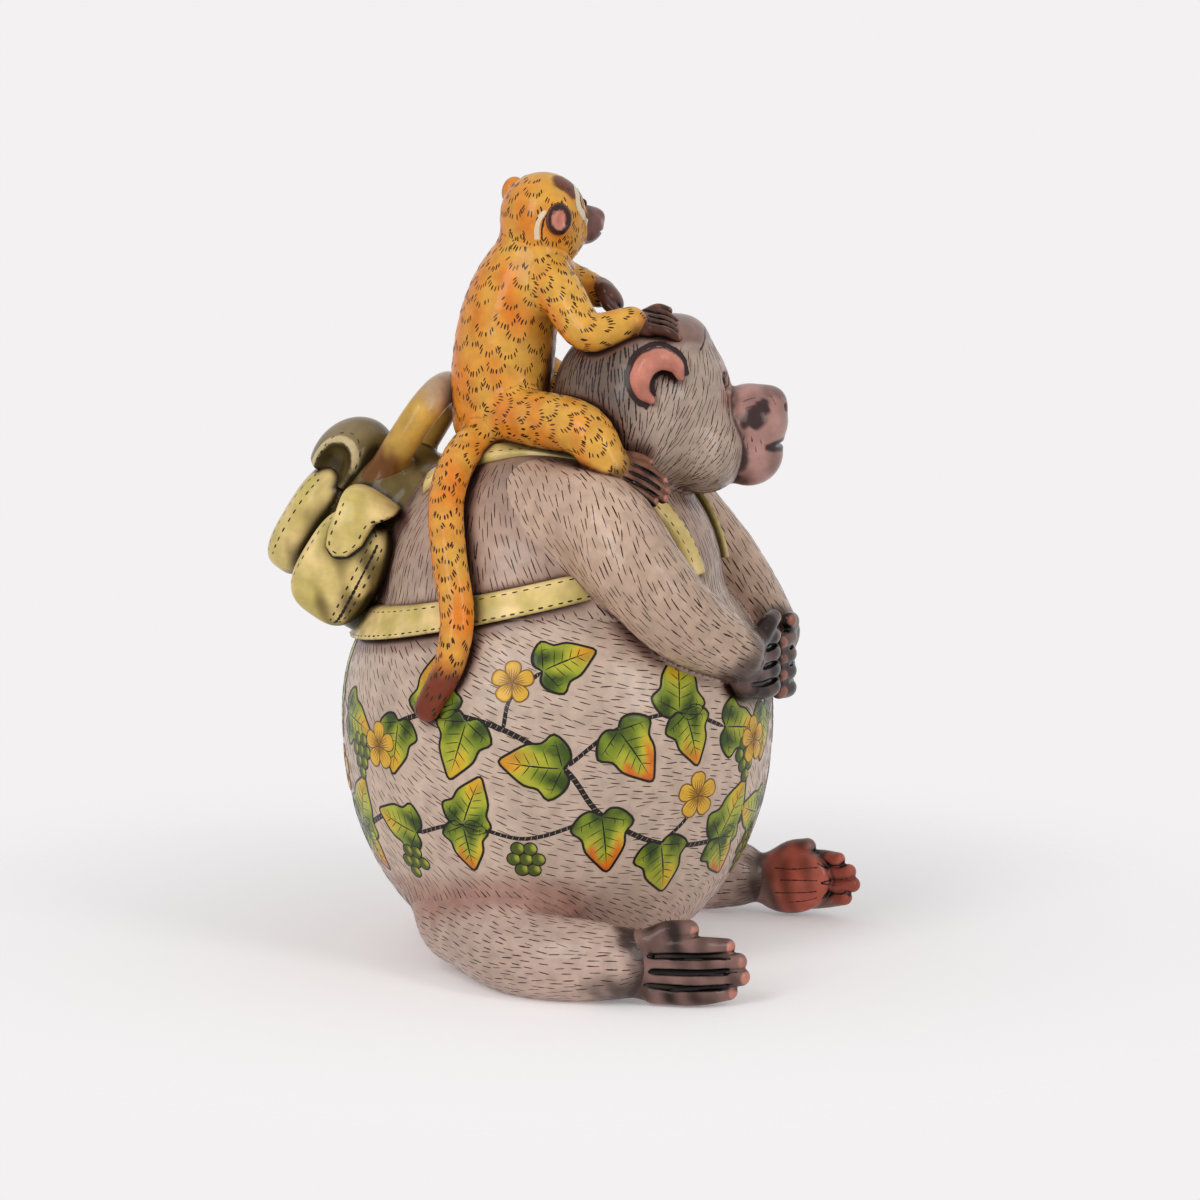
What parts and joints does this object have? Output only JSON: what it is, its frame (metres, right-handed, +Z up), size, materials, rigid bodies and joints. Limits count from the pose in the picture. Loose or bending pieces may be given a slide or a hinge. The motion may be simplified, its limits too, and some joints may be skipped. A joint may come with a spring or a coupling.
{
  "type": "monkey sculpture",
  "caption": "Glazed ceramic figure of a seated, round-bellied ape with a backpack, carrying a small spotted monkey on its shoulders; a free-standing ornament that rests on its flat base.",
  "frame": {"origin": "middle of the belly's flat base, on the surface that the figure stands on", "axes": "+Z up, +X out of the ape's front, +Y to the ape's left"},
  "size_m": [0.2114, 0.1869, 0.2955],
  "materials": {
    "fur": "grey-beige underglaze with fine dark brush marks, clear glossy glaze",
    "skin": "dark brown underglaze, clear glossy glaze",
    "face": "mauve-pink underglaze with dark washes, clear glossy glaze",
    "ear": "pink underglaze, clear glossy glaze",
    "eye": "black underglaze, clear glossy glaze",
    "coat": "orange-yellow underglaze with scalloped dark dashes, clear glossy glaze",
    "young_skin": "dark brown underglaze, clear glossy glaze",
    "canvas": "khaki underglaze with painted stitches, clear glossy glaze",
    "strap": "olive-yellow underglaze with painted stitches, clear glossy glaze",
    "handle": "mustard underglaze, clear glossy glaze"
  },
  "bodies": {
    "root": {"belly": "fur", "torso": "fur", "head": "fur", "muzzle": "face", "eye_right": "eye", "eye_left": "eye", "ear_right": "ear", "ear_left": "ear", "arm_right": "fur", "arm_left": "fur", "hand_right": "skin", "hand_left": "skin", "leg_right": "fur", "leg_left": "fur", "foot_right": "skin", "foot_left": "skin", "backpack_body": "canvas", "rear_pocket": "canvas", "rear_pocket_lid": "canvas", "side_pocket_right": "canvas", "side_pocket_left": "canvas", "side_flap_right": "canvas", "side_flap_left": "canvas", "carry_handle": "handle", "lower_strap_right": "strap", "lower_strap_left": "strap", "shoulder_strap_right": "strap", "shoulder_strap_left": "strap", "young_torso": "coat", "young_head": "coat", "young_muzzle": "young_skin", "young_eye_right": "eye", "young_eye_left": "eye", "young_ear_right": "coat", "young_ear_left": "coat", "young_arm_right": "coat", "young_arm_left": "coat", "young_hand_right": "young_skin", "young_hand_left": "young_skin", "young_leg_right": "coat", "young_leg_left": "coat", "young_foot_right": "young_skin", "young_foot_left": "young_skin", "young_tail": "coat"}
  },
  "joints": []
}
